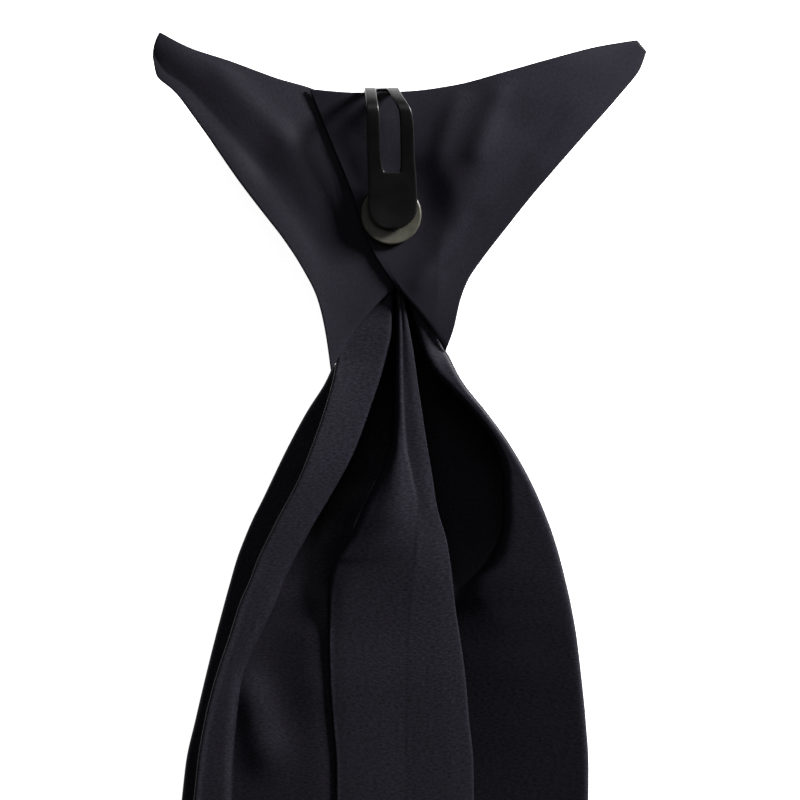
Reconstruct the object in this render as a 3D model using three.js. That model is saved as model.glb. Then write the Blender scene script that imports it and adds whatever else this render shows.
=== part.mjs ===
// Clip-on necktie, lying on its front with its back up.
// Millimetres. +X is to the right seen from the back, +Y is towards the wings, +Z is up, out of the back.
// The tables below are measured from the neck, where the blade leaves the knot: there x and y are 0.
import * as THREE from 'three';

// Cloth
const clothWall = 1.2; // the folded cloth of the blade and of the knot
const wingWall = 2.4; // the stiffened wings
const foldFade = 0.2; // a panel's soft folds fade out over this share of its row at either end
const foldEndFade = 1.5; // and past a fold's own ends over this many of its widths
const roundShare = 0.46; // the round of a corner takes at most this share of the line beside it
const clearance = 0.35; // between two pieces that lie on each other

// Blade
const pointStart = -345; // where the blade starts to narrow to its point
const bladeTip = -389;
const tipHalfWidth = 3;
const frontInset = 0.9; // the front layer's corner lies this far inside the outer fold
const rimInset = 0.6; // the rim's outer corner lies this far inside the outer fold
const undercut = 0.3; // the pleat's left fold overhangs the layer below it by this much
const grooveOffset = 0.9; // the groove beside the strip's crease lies this far to its right
const ridgeRise = 0.15; // the strip swells this much between its crease and its right edge
const pleatRound = 1.2; // how far the rounds of the folds reach
const hemRound = 1.0;
const rimSideRound = 1.4;

// Clip and disc
const clipThickness = 0.9;
const tongueRadius = 5.0;
const slotEndLength = 1.6;
const slitHalfWidth = 0.25; // the slot's ends close to this
const tongueEndAngle = 0.46 * Math.PI; // the round end stops short of its last sliver
const discRadius = 6.0;
const discThickness = 1.9;
const discEdgeRound = 0.5;
const discCentre = { x: -1.6, y: 30.8 };
const seatHeight = 15.0; // middle of the panel's wall under the disc
const seatUnevenness = 0.15; // the facets of the panel stand this far above its seat
const seatMargin = 0.6; // the flat seat reaches this far past the disc
const seatBlend = 5; // and rises into the panel over this length

// How finely the surfaces are cut
const foldSteps = 2; // pieces in the round of a fold
const knotSteps = 5; // pieces in the round of the knot's edge
const clipSteps = 4; // pieces in each bend of the clip
const tongueSteps = 7; // rows in the round end of the tongue
const slotEndShares = [0, 0.3, 0.6, 1];
const closestRows = 0.12; // rows of the clip closer than this are left out
const almostNothing = 1e-6;
const discSides = 32;
const leftPanelGrid = { rows: 24, across: 12 };
const rightPanelGrid = { rows: 26, across: 18 };

// Names every column of a table, given as one line of names.
function tableOf(columns, rows) {
  const names = columns.split(' ');
  return rows.map((row) => Object.fromEntries(names.map((name, i) => [name, row[i]])));
}

// The left wing and its back panel, from the wing's tip (first row) to the panel's lower edge (last row).
// out and in are the ends of a row, crown how far its middle rises, bow how far it bends in the plane.
// Its inner ends run under the right panel.
const leftPanel = tableOf('outX outY outZ inX inY inZ crown bow wall', [
  [-50.4, 62.9, 15.0, -49.0, 68.1, 15.4, 0.3, 0.4, wingWall],
  [-49.6, 59.2, 15.4, -42.8, 64.8, 15.0, 0.6, 0.2, wingWall],
  [-45.9, 55.8, 15.8, -34.2, 61.7, 14.5, 0.6, 0, wingWall],
  [-40.2, 48.2, 16.2, -25.4, 58.8, 13.8, 0.6, 0, 2.0],
  [-32.6, 37.3, 16.4, -16.2, 56.2, 12.4, 0.7, 0, 1.4],
  [-28.1, 31.4, 16.4, -12.8, 51.0, 12.0, 0.6, 0, clothWall],
  [-23.6, 25.6, 16.4, -9.9, 41.2, 12.0, 0.6, 0, clothWall],
  [-19.9, 19.9, 16.4, -6.6, 33.4, 12.5, 0.5, 0, clothWall],
  [-16.8, 13.7, 16.3, -3.2, 26.2, 12.55, 0.4, 0.3, clothWall],
  [-15.2, 7.2, 16.1, -0.2, 20.9, 13.2, 0.3, 0.8, clothWall],
  [-13.9, -1.6, 15.5, 0.9, 17.2, 13.7, 0.1, 1.5, clothWall],
]);

// The right wing and the centre back panel, which laps over the left one along its inner ends.
const rightPanel = tableOf('outX outY outZ inX inY inZ crown bow wall', [
  [50.6, 64.2, 14.6, 48.8, 66.4, 14.8, 0.3, 0, wingWall],
  [49.4, 60.7, 14.7, 41.2, 65.2, 15.2, 0.6, 0, wingWall],
  [44.9, 54.9, 14.9, 31.0, 62.5, 15.6, 0.8, 0, wingWall],
  [39.2, 48.4, 15.2, 20.7, 59.4, 15.8, 1.0, 0, 2.0],
  [32.2, 40.4, 15.4, 11.5, 57.0, 15.6, 1.1, 0, 1.6],
  [26.9, 34.2, 15.4, 1.2, 55.9, 15.2, 0.9, 0, 1.4],
  [21.9, 27.9, 15.3, -9.0, 55.8, 14.8, 1.0, 0, clothWall],
  [17.4, 22.1, 15.1, -18.4, 56.6, 14.7, 1.3, 0, clothWall],
  [14.1, 17.2, 14.9, -14.4, 46.8, 14.5, 1.4, 0, clothWall],
  [12.5, 12.9, 14.7, -9.8, 35.6, 14.9, 1.1, 0, clothWall],
  [11.3, 7.6, 14.3, -6.2, 25.0, 15.5, 0.7, 0, clothWall],
  [9.5, 2.6, 13.7, 0.3, 14.9, 15.9, 0.2, -0.6, clothWall],
]);

// Soft folds pressed into the panels: a ridge has a rise above 0, a trough one below 0.
const leftFolds = tableOf('fromX fromY toX toY width rise', [
  [-48.5, 61.0, -27.5, 40.2, 3.2, -0.5],
  [-27.5, 40.2, -14.5, 26.0, 3.2, -0.45],
  [-33.5, 59.9, -24.5, 48.0, 2.6, 0.3],
  [-24.5, 48.0, -13.6, 39.5, 2.4, 0.35],
]);
const rightFolds = tableOf('fromX fromY toX toY width rise', [
  [5.7, 40.5, 12.0, 55.5, 1.4, -0.35],
  [9.0, 41.5, 18.5, 54.5, 1.8, 0.3],
  [10.5, 37.5, 20.5, 52.0, 2.2, -0.4],
  [12.0, 35.5, 27.0, 50.5, 2.4, 0.3],
  [5.0, 35.4, 14.0, 36.4, 2.8, -0.6],
  [8.0, 20.5, 15.5, 30.0, 2.0, -0.3],
]);

// The knot's front band, from the neck up: its outer sides, how much further up the row lies at its right end
// than at its left, and the heights of its face and of its two side walls.
const knotSections = tableOf('y left right slant face side sideRight', [
  [0.2, -13.9, 9.4, 4.4, 0.6, 14.0, 12.2],
  [5.1, -14.8, 9.9, 2.8, 0.6, 14.7, 12.8],
  [11.3, -15.8, 11.9, 1.0, 0.6, 15.0, 13.3],
  [17.4, -17.6, 13.9, 0, 0.6, 14.9, 13.5],
  [26.0, -19.8, 16.6, 0, 0.6, 14.2, 13.7],
  [36.0, -21.4, 19.2, 0, 0.6, 13.6, 13.4],
  [46.0, -22.6, 21.4, 0, 0.6, 12.8, 13.2],
  [50.6, -23.0, 22.2, 0, 0.6, 12.4, 13.0],
  [52.6, -23.2, 22.4, 0, 1.2, 12.2, 12.8],
  [54.0, -23.2, 22.4, 0, 2.8, 12.0, 12.6],
  [54.6, -23.1, 22.3, 0, 5.2, 11.9, 12.4],
  [54.7, -22.9, 22.1, 0, 7.7, 11.8, 12.2],
]);
const knotCorner = 3.4; // how far the round between face and side wall reaches

// The blade, from inside the knot down to its point. Each row is one half of the section across it.
// left, side         the outer fold and its height, front the height of the front layer
// ledge              height of the layer that shows beside the pleat
// pleatLeft, pleatTop, pleatRight, pleatEdge   the raised pleat: its two folds and their heights
// creaseX, creaseZ   foot of the pleat's inner side
// mound, moundTop    the cloth beside it, flat in the hollow and swelling further down
// moundFoot, floor   where that reaches the hollow's floor, and the floor's height
// seam               inner end of the facing, under the lapped strip
const bladeLeft = tableOf(
  'y left front side ledge pleatLeft pleatTop pleatRight pleatEdge ' +
    'creaseX creaseZ mound moundTop moundFoot floor seam',
  [
    [30, -9.5, 2.7, 4.8, 5.6, -7.4, 9.5, -2.6, 9.0, -2.9, 5.4, -2.0, 5.4, -1.4, 5.4, -0.8],
    [14, -11.0, 2.7, 5.0, 5.8, -9.8, 11.4, -2.2, 12.0, -2.5, 4.6, -1.8, 4.6, -1.3, 4.6, -0.6],
    [7, -11.5, 2.7, 5.0, 5.8, -11.2, 12.4, -2.2, 12.3, -2.6, 4.0, -1.7, 4.0, -1.2, 4.0, -0.4],
    [2.4, -11.6, 2.7, 4.6, 5.4, -11.5, 13.0, -2.9, 12.5, -3.3, 3.6, -2.2, 3.6, -1.4, 3.6, -0.2],
    [-0.6, -11.8, 2.6, 4.3, 5.1, -11.7, 13.4, -3.4, 12.6, -3.8, 3.5, -2.5, 3.5, -1.5, 3.5, 0.0],
    [-2.2, -14.2, 2.4, 4.0, 4.8, -13.0, 13.6, -3.9, 12.7, -4.3, 3.2, -2.8, 3.2, -1.6, 3.2, 0.2],
    [-4.2, -15.5, 2.1, 3.9, 4.7, -13.5, 14.6, -4.6, 12.8, -5.0, 2.9, -3.2, 2.9, -1.8, 2.9, 0.4],
    [-9.4, -18.9, 0.9, 3.2, 4.2, -15.0, 15.6, -6.4, 12.4, -6.8, 2.3, -4.6, 2.3, -2.2, 2.3, 0.6],
    [-16, -22.5, 0.6, 2.9, 3.9, -17.3, 15.8, -8.8, 12.2, -9.2, 2.0, -6.2, 2.0, -3, 2.0, 0.8],
    [-20, -24.5, 0.6, 2.9, 3.9, -18.8, 15.6, -10.6, 12.1, -11.0, 2.0, -7, 2.0, -4, 2.0, 0.8],
    [-24, -26.4, 0.6, 2.8, 3.8, -20.5, 15.2, -12.8, 12.0, -13.2, 1.9, -9, 1.9, -5, 1.9, 0.8],
    [-32, -30.3, 0.6, 2.7, 3.7, -24.8, 14.2, -17.5, 11.4, -17.9, 1.9, -13, 1.9, -8, 1.9, 0.8],
    [-40, -33.5, 0.6, 2.7, 3.6, -28.7, 13.2, -21.9, 10.6, -22.3, 2.0, -17, 2.0, -11, 2.0, 0.8],
    [-48.5, -35.9, 0.6, 2.7, 3.6, -32.2, 12.2, -25.7, 10.0, -26.0, 3.6, -21, 2.8, -14, 2.6, 0.8],
    [-55, -37.7, 0.6, 2.7, 3.5, -34.2, 11.4, -28.8, 9.4, -28.6, 5.6, -26, 4.8, -17, 3.6, 0.8],
    [-64, -39.9, 0.6, 2.7, 3.4, -37.5, 10.6, -32.4, 8.8, -31.6, 6.8, -29.5, 6.8, -16.5, 5.0, 0.8],
    [-73, -42.0, 0.6, 2.6, 3.3, -39.6, 9.8, -34.6, 8.4, -33.6, 7.0, -30, 8.3, -16, 6.0, 0.8],
    [-82.6, -44.1, 0.6, 2.5, 3.2, -41.2, 9.0, -35.4, 8.0, -34.4, 6.9, -31, 7.8, -15.5, 6.0, 0.8],
    [-120, -47.0, 0.6, 2.4, 3.0, -44.0, 6.2, -36, 5.6, -35, 5.0, -32, 5.2, -15.5, 4.4, 0.6],
    [-240, -49.0, 0.6, 2.3, 2.9, -46.2, 4.1, -36, 3.9, -35, 3.6, -32, 3.6, -15.5, 3.4, -0.4],
    [-345, -49.2, 0.6, 2.3, 2.9, -46.4, 4.0, -36, 3.8, -35, 3.5, -32, 3.5, -15.5, 3.3, -1.0],
  ],
);

// The other half: the outer fold, the raised rim beside it, the hollow's floor and the facing's inner end.
// Below the hollow the rim turns into a broad swell, whose round reaches rimReach to either side.
const bladeRight = tableOf('y right sideRight outerTop rim rimTop rimFoot rimReach floorRight seamRight', [
  [30, 7.0, 4.8, 9.6, 4.2, 10.0, 4.8, 1.4, 5.4, 3.4],
  [14, 7.1, 5.0, 11.4, 4.2, 11.6, 4.8, 1.4, 5.4, 3.6],
  [7, 7.1, 5.0, 11.3, 4.6, 12.2, 5.0, 1.4, 5.2, 3.7],
  [4.6, 7.0, 4.9, 11.4, 4.8, 12.6, 5.2, 1.4, 5.0, 3.7],
  [3.4, 8.3, 4.9, 11.4, 5.2, 12.8, 5.6, 1.4, 5.0, 3.8],
  [1.6, 9.7, 4.9, 11.8, 6.0, 13.0, 6.4, 1.4, 4.8, 3.9],
  [-1.0, 11.1, 4.7, 13.0, 7.2, 13.2, 7.6, 1.6, 4.4, 4.0],
  [-4.2, 13.2, 4.6, 12.8, 9.8, 12.8, 10.2, 1.8, 4.0, 4.0],
  [-9.4, 17.4, 4.2, 12.4, 14.8, 12.2, 15.2, 1.8, 2.8, 4.0],
  [-16, 22.2, 4.0, 12.1, 19.4, 11.8, 19.9, 1.8, 2.3, 4.0],
  [-24, 26.8, 3.8, 11.7, 22.0, 11.0, 22.4, 2.0, 2.0, 4.0],
  [-32, 30.3, 3.6, 11.1, 22.4, 10.0, 22.4, 2.4, 2.0, 4.0],
  [-38, 32.3, 3.3, 10.5, 22.6, 9.2, 20.4, 4, 2.2, 4.0],
  [-42, 33.4, 3.2, 10.1, 22.8, 8.8, 17.0, 6, 2.3, 4.0],
  [-46, 34.4, 3.0, 9.7, 23.4, 8.6, 12, 8, 2.5, 4.0],
  [-50, 35.2, 3.0, 9.4, 24, 8.5, 9.5, 10, 2.8, 4.0],
  [-55, 36.1, 2.9, 9.1, 24.4, 8.3, 8.8, 12, 3.0, 4.0],
  [-64, 37.2, 2.8, 8.7, 24.8, 8.1, 10.2, 12, 3.2, 4.0],
  [-73, 38.1, 2.7, 8.3, 25.4, 7.8, 11.8, 12, 3.2, 4.0],
  [-82.6, 38.7, 2.6, 7.8, 25.8, 7.4, 13.2, 12, 3.2, 4.0],
  [-120, 38.2, 2.4, 5.8, 27, 5.6, 14.4, 12, 3.2, 3.8],
  [-240, 38.2, 2.3, 4.1, 28, 4.0, 14.8, 12, 3.2, 2.8],
  [-345, 38.4, 2.3, 4.0, 28, 3.9, 15, 12, 3.2, 2.2],
]);
const bladeStations = [
  30, 22, 14, 9, 6.5, 4.6, 3.4, 2.4, 1.2, -0.6, -2.2, -4.2, -6.6, -9.4, -12.5, -16, -20, -24, -28, -32,
  -35, -38, -41, -44, -47, -51, -55, -59.5, -64, -68.5, -73, -82.6, -100, -120, -160, -200, -270, pointStart,
];
const tipShares = [0.25, 0.5, 0.75, 0.9, 1];

// The lapped strip down the middle of the back, from the notch of the knot downwards: its left side wall from
// foot to left, its soft shoulder at mid, the crease with a groove beside it, and its right edge.
const stripColumns = 'y foot footTop left leftTop mid midTop crease creaseTop groove right rightTop';
const stripSections = tableOf(stripColumns, [
  [9, -0.3, 6.3, 0.0, 10.4, 0.2, 11.4, 0.5, 12.0, 0.3, 2.2, 12.0],
  [3, -0.7, 6.0, -0.3, 10.6, -0.1, 12.0, 0.2, 12.8, 0.5, 3.2, 12.8],
  [-2.7, -1.0, 5.3, -0.6, 10.6, -0.4, 12.2, 0.0, 13.3, 0.6, 4.0, 13.0],
  [-9.4, -1.4, 3.9, -0.9, 10.4, -0.6, 12.2, 0.0, 13.6, 0.7, 5.0, 12.8],
  [-16, -2.2, 3.3, -1.6, 10.0, -0.7, 12.6, 0.4, 13.5, 0.6, 6.0, 12.4],
  [-22, -4.7, 3.2, -3.9, 9.8, -1.8, 12.5, 1.6, 13.2, 0.4, 7.1, 11.4],
  [-29.5, -7.6, 3.1, -6.6, 10.0, -3.4, 12.4, 2.4, 12.8, 0.2, 8.6, 10.6],
  [-36, -11.0, 3.1, -10.0, 9.8, -6.6, 11.9, 2.6, 11.9, 0, 9.9, 9.6],
  [-41.4, -14.2, 3.3, -13.6, 10.0, -10.0, 11.3, 2.4, 10.8, 0, 10.6, 8.9],
  [-49.6, -14.7, 4.0, -14.2, 10.3, -12, 10.4, 2.0, 9.3, 0, 11.8, 7.9],
  [-60, -14.6, 5.6, -14.1, 9.5, -12, 9.4, 1.4, 8.2, 0, 13.3, 7.1],
  [-71, -14.0, 6.8, -13.5, 8.6, -11.5, 8.5, 1.2, 7.4, 0, 14.4, 6.4],
  [-82.6, -13.2, 6.8, -12.7, 7.9, -11, 7.7, 1.2, 6.7, 0, 15.4, 6.0],
  [-120, -13.1, 5.4, -12.6, 6.2, -11, 6.1, 1.2, 5.8, 0, 15.6, 5.6],
  [-240, -13.9, 4.6, -13.4, 5.5, -12, 5.55, 0.6, 5.5, 0, 14.6, 5.35],
  [-343, -14.5, 4.5, -14.0, 5.3, -12.5, 5.3, 0.0, 5.3, 0, 14.0, 5.2],
]);
const stripStations = [
  9, 6, 3, 0, -2.7, -6, -9.4, -12.5, -16, -19, -22, -25.5, -29.5, -32.5, -36, -38.5, -41.4, -45, -49.6, -54.5,
  -60, -65, -71, -76, -82.6, -100, -120, -160, -200, -240, -290, -343,
];

// The clip's line seen from the side, from its hidden inner leg over the knot's top edge to the tongue's lip.
const clipLine = tableOf('y z reach middle width', [
  [36.0, 8.6, 0, -3.6, 7.6],
  [57.1, 10.3, 1.6, -3.6, 7.6],
  [57.3, 17.4, 2.2, -3.6, 7.6],
  [51.3, 24.0, 1.8, -2.2, 9.2],
  [37.4, 19.5, 1.6, -1.5, 9.8],
  [28.6, 18.9, 0.9, -1.4, 10.0],
  [26.9, 20.0, 0, -1.4, 10.0],
]);
const clipSlot = { top: 55.8, bottom: 38.4, widthAtTop: 2.4, widthAtBottom: 4.0, base: 14 };

// A smooth function through the named column of a table, with no overshoot between its rows.
function column(rows, key, name) {
  const order = rows[0][key] < rows[rows.length - 1][key] ? rows : [...rows].reverse();
  const at = order.map((row) => row[key]);
  const values = order.map((row) => row[name]);
  const steep = at.slice(1).map((a, i) => (values[i + 1] - values[i]) / (a - at[i]));
  const tangents = values.map((_, i) => {
    if (i === 0) return steep[0];
    if (i === steep.length) return steep[i - 1];
    if (steep[i - 1] * steep[i] <= 0) return 0;
    return 2 / (1 / steep[i - 1] + 1 / steep[i]);
  });
  return (t) => {
    let i = at.findIndex((a) => t <= a) - 1;
    if (i === -2) i = steep.length - 1;
    i = Math.max(i, 0);
    const gap = at[i + 1] - at[i];
    const s = THREE.MathUtils.clamp((t - at[i]) / gap, 0, 1);
    const rise = 3 * s * s - 2 * s * s * s;
    const startPull = s * (1 - s) * (1 - s) * gap * tangents[i];
    const endPull = s * s * (s - 1) * gap * tangents[i + 1];
    return values[i] + (values[i + 1] - values[i]) * rise + startPull + endPull;
  };
}

// All columns of a table at once: the row that lies at t.
function tableAt(rows, key) {
  const names = Object.keys(rows[0]).filter((name) => name !== key);
  const columns = names.map((name) => column(rows, key, name));
  return (t) => Object.fromEntries([[key, t], ...names.map((name, i) => [name, columns[i](t)])]);
}

// A line through corners, each rounded over its own reach, with the same number of points on every round.
// A corner without a reach stays sharp.
function roundedLine(corners, roundSteps) {
  const points = [corners[0].at.clone()];
  for (let i = 1; i < corners.length - 1; i += 1) {
    const corner = corners[i].at;
    if (!corners[i].reach) {
      points.push(corner.clone());
      continue;
    }
    const before = corners[i - 1].at.clone().sub(corner);
    const after = corners[i + 1].at.clone().sub(corner);
    const reach = Math.min(corners[i].reach, roundShare * before.length(), roundShare * after.length());
    const start = corner.clone().add(before.setLength(reach));
    const end = corner.clone().add(after.setLength(reach));
    for (let k = 0; k <= roundSteps; k += 1) {
      const t = k / roundSteps;
      const towards = start.clone().lerp(corner, t);
      points.push(towards.lerp(corner.clone().lerp(end, t), t));
    }
  }
  points.push(corners[corners.length - 1].at.clone());
  return points;
}

// A closed wall over a grid of middle points. thickness gives the wall at a row, keep leaves cells out for
// holes.
function wall(grid, thickness, keep = () => true) {
  const rows = grid.length;
  const across = grid[0].length;
  const normalAt = (i, j) => {
    const alongRow = grid[i][Math.min(j + 1, across - 1)].clone().sub(grid[i][Math.max(j - 1, 0)]);
    const downRows = grid[Math.min(i + 1, rows - 1)][j].clone().sub(grid[Math.max(i - 1, 0)][j]);
    return alongRow.cross(downRows).normalize();
  };
  const positions = [];
  for (const side of [0.5, -0.5]) {
    for (let i = 0; i < rows; i += 1) {
      for (let j = 0; j < across; j += 1) {
        const point = grid[i][j].clone().addScaledVector(normalAt(i, j), side * thickness(i));
        positions.push(point.x, point.y, point.z);
      }
    }
  }
  const upper = (i, j) => i * across + j;
  const lower = (i, j) => rows * across + i * across + j;
  const faces = [];
  const quad = (a, b, c, d) => faces.push(a, b, c, a, c, d);
  const has = (i, j) => i >= 0 && j >= 0 && i < rows - 1 && j < across - 1 && keep(i, j);
  for (let i = 0; i < rows - 1; i += 1) {
    for (let j = 0; j < across - 1; j += 1) {
      if (!has(i, j)) continue;
      quad(upper(i, j), upper(i, j + 1), upper(i + 1, j + 1), upper(i + 1, j));
      quad(lower(i, j), lower(i + 1, j), lower(i + 1, j + 1), lower(i, j + 1));
      if (!has(i - 1, j)) quad(lower(i, j), lower(i, j + 1), upper(i, j + 1), upper(i, j));
      if (!has(i + 1, j)) quad(lower(i + 1, j + 1), lower(i + 1, j), upper(i + 1, j), upper(i + 1, j + 1));
      if (!has(i, j - 1)) quad(lower(i + 1, j), lower(i, j), upper(i, j), upper(i + 1, j));
      if (!has(i, j + 1)) quad(lower(i, j + 1), lower(i + 1, j + 1), upper(i + 1, j + 1), upper(i, j + 1));
    }
  }
  const used = [...new Set(faces)].sort((a, b) => a - b);
  const renumbered = new Map(used.map((old, now) => [old, now]));
  const geometry = new THREE.BufferGeometry();
  const kept = used.flatMap((old) => positions.slice(3 * old, 3 * old + 3));
  geometry.setAttribute('position', new THREE.Float32BufferAttribute(kept, 3));
  geometry.setIndex(faces.map((old) => renumbered.get(old)));
  geometry.computeVertexNormals();
  return geometry;
}

// How much the soft folds of a panel lift the point x, y.
function foldRise(folds, x, y) {
  let rise = 0;
  for (const fold of folds) {
    const from = new THREE.Vector2(fold.fromX, fold.fromY);
    const run = new THREE.Vector2(fold.toX, fold.toY).sub(from);
    const offset = new THREE.Vector2(x, y).sub(from);
    const along = offset.dot(run) / run.lengthSq();
    const aside = offset.cross(run) / run.length();
    const pastEnd = Math.max(0, -along, along - 1) * run.length();
    const fade = Math.exp(-((pastEnd / (foldEndFade * fold.width)) ** 2));
    rise += fold.rise * fade * Math.exp(-((aside / fold.width) ** 2));
  }
  return rise;
}

// A panel of the knot with its wing. seated flattens it under the disc.
function panelGeometry(rows, folds, seated, cut) {
  const numbered = rows.map((row, i) => ({ ...row, step: i }));
  const rowAt = tableAt(numbered, 'step');
  const walls = [];
  const grid = [];
  for (let i = 0; i <= cut.rows; i += 1) {
    const row = rowAt((i / cut.rows) * (rows.length - 1));
    const out = new THREE.Vector3(row.outX, row.outY, row.outZ);
    const inner = new THREE.Vector3(row.inX, row.inY, row.inZ);
    const sideways = new THREE.Vector3(out.y - inner.y, inner.x - out.x, 0).normalize();
    walls.push(row.wall);
    const line = [];
    for (let j = 0; j <= cut.across; j += 1) {
      const u = j / cut.across;
      const arch = 4 * u * (1 - u);
      const point = out.clone().lerp(inner, u).addScaledVector(sideways, row.bow * arch);
      const edge = Math.min(1, u / foldFade, (1 - u) / foldFade);
      point.z += row.crown * arch + edge * foldRise(folds, point.x, point.y);
      if (seated) {
        const away = Math.hypot(point.x - discCentre.x, point.y - discCentre.y) - discRadius - seatMargin;
        point.z = THREE.MathUtils.lerp(seatHeight, point.z, THREE.MathUtils.smoothstep(away, 0, seatBlend));
      }
      line.push(point);
    }
    grid.push(line);
  }
  return wall(grid, (i) => walls[i]);
}

function knotFrontGeometry() {
  const inset = clothWall / 2;
  const grid = knotSections.map((section) => {
    const left = section.left + inset;
    const right = section.right - inset;
    const rowY = (x) => section.y + (section.slant * (x - left)) / (right - left);
    const corner = (x, z) => ({ at: new THREE.Vector3(x, rowY(x), z), reach: knotCorner });
    const corners = [corner(left, section.side), corner(left, section.face)];
    corners.push(corner(right, section.face), corner(right, section.sideRight));
    return roundedLine(corners, knotSteps);
  });
  return wall(grid, () => clothWall);
}

// The corners of the blade's section, from the left facing's inner end round the front to the right facing's.
function bladeLine(section) {
  const corner = (x, z, reach = 0) => ({ at: new THREE.Vector3(x, section.y, z), reach });
  return roundedLine([
    corner(section.seam, section.floorRight),
    corner(section.moundFoot, section.floor),
    corner(section.mound, section.moundTop),
    corner(section.creaseX, section.creaseZ),
    corner(section.pleatRight, section.pleatEdge, pleatRound),
    corner(section.pleatLeft, section.pleatTop, pleatRound),
    corner(section.pleatLeft + undercut, section.ledge),
    corner(section.left, section.side, hemRound),
    corner(section.left + frontInset, section.front),
    corner(section.right - frontInset, section.front),
    corner(section.right, section.sideRight, rimSideRound),
    corner(section.right - rimInset, section.outerTop, hemRound),
    corner(section.rim, section.rimTop, section.rimReach),
    corner(section.rimFoot, section.floorRight),
    corner(section.seamRight, section.floorRight),
  ], foldSteps);
}

// Past the start of the point every section is the last one, narrowed towards the middle of the blade.
function pointSection(last, share) {
  const middle = (last.left + last.right) / 2;
  const halfWidth = THREE.MathUtils.lerp((last.right - last.left) / 2, tipHalfWidth, share);
  const scale = halfWidth / ((last.right - last.left) / 2);
  const narrowed = { ...last, y: THREE.MathUtils.lerp(pointStart, bladeTip, share) };
  const places = 'left right pleatLeft pleatRight creaseX mound moundFoot seam seamRight rim rimFoot';
  for (const name of places.split(' ')) {
    narrowed[name] = middle + (last[name] - middle) * scale;
  }
  narrowed.rimReach = last.rimReach * scale;
  return narrowed;
}

function bladeGeometry() {
  const leftAt = tableAt(bladeLeft, 'y');
  const rightAt = tableAt(bladeRight, 'y');
  const sectionAt = (y) => ({ ...leftAt(y), ...rightAt(y) });
  const last = sectionAt(pointStart);
  const sections = [...bladeStations.map(sectionAt), ...tipShares.map((share) => pointSection(last, share))];
  return wall(sections.map(bladeLine), () => clothWall);
}

function backPleatGeometry() {
  const sectionAt = tableAt(stripSections, 'y');
  const grid = stripStations.map((y) => {
    const section = sectionAt(y);
    const corner = (x, z, reach = 0) => ({ at: new THREE.Vector3(x, y, z), reach });
    const ridgeX = (section.crease + 2 * section.right) / 3;
    const ridgeTop = (section.creaseTop + 2 * section.rightTop) / 3 + ridgeRise;
    return roundedLine([
      corner(section.foot, section.footTop),
      corner(section.left, section.leftTop, hemRound),
      corner(section.mid, section.midTop),
      corner(section.crease, section.creaseTop),
      corner(section.crease + grooveOffset, section.creaseTop - section.groove),
      corner(ridgeX, ridgeTop),
      corner(section.right, section.rightTop),
    ], foldSteps);
  });
  return wall(grid, () => clothWall);
}

// The clip: a strip with a slot, bent along clipLine, with a round end.
function clipGeometry() {
  const pointOf = (row) => new THREE.Vector3(0, row.y, row.z);
  const corners = clipLine.map((row) => ({ at: pointOf(row), reach: row.reach }));
  const bent = roundedLine(corners, clipSteps);
  const path = new THREE.CurvePath();
  for (let i = 1; i < bent.length; i += 1) {
    path.add(new THREE.LineCurve3(bent[i - 1], bent[i]));
  }
  const lengths = [0, ...path.getCurveLengths()];
  const total = lengths[lengths.length - 1];
  const widthRows = clipLine.map((row) => {
    const at = pointOf(row);
    const nearest = bent.reduce((best, p, i) => (p.distanceTo(at) < bent[best].distanceTo(at) ? i : best), 0);
    return { run: lengths[nearest], middle: row.middle, width: row.width };
  });
  const widthAt = tableAt(widthRows, 'run');
  const outer = bent.map((p, i) => ({ run: lengths[i], y: p.y, z: p.z })).filter((p) => p.z > clipSlot.base);
  const runAt = (y) => {
    const below = outer.findIndex((p) => p.y <= y);
    const [a, b] = [outer[below - 1], outer[below]];
    return THREE.MathUtils.mapLinear(y, a.y, b.y, a.run, b.run);
  };
  const slotStart = runAt(clipSlot.top);
  const slotEnd = runAt(clipSlot.bottom);
  const roundStart = total - tongueRadius;
  const runs = [...lengths];
  for (const share of slotEndShares) {
    runs.push(slotStart + share * slotEndLength, slotEnd - share * slotEndLength);
  }
  for (let k = 0; k <= tongueSteps; k += 1) {
    runs.push(roundStart + tongueRadius * Math.sin((k / tongueSteps) * tongueEndAngle));
  }
  const lastRun = roundStart + tongueRadius * Math.sin(tongueEndAngle);
  const wanted = runs.filter((run) => run <= lastRun).sort((a, b) => a - b);
  const stations = wanted.filter((run, i) => i === 0 || run - wanted[i - 1] > closestRows);
  const grid = stations.map((run) => {
    const at = path.getPointAt(run / total);
    const { middle, width } = widthAt(run);
    const past = Math.max(0, run - roundStart) / tongueRadius;
    const half = (width / 2) * Math.sqrt(1 - past * past);
    const share = THREE.MathUtils.clamp((run - slotStart) / (slotEnd - slotStart), 0, 1);
    const fromEnd = Math.min(run - slotStart, slotEnd - run, slotEndLength) / slotEndLength;
    const open = Math.sqrt(Math.max(0, 1 - (1 - fromEnd) ** 2));
    const slotWidth = THREE.MathUtils.lerp(clipSlot.widthAtTop, clipSlot.widthAtBottom, share);
    const slit = Math.min(slitHalfWidth, half / 2);
    const inner = fromEnd > 0 ? Math.max(slit, (slotWidth / 2) * open) : slit;
    return [-half, -inner, inner, half].map((x) => new THREE.Vector3(middle + x, at.y, at.z));
  });
  const afterTop = (i) => stations[i] >= slotStart - almostNothing;
  const beforeBottom = (i) => stations[i + 1] <= slotEnd + almostNothing;
  return wall(grid, () => clipThickness, (i, j) => !(j === 1 && afterTop(i) && beforeBottom(i)));
}

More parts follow.
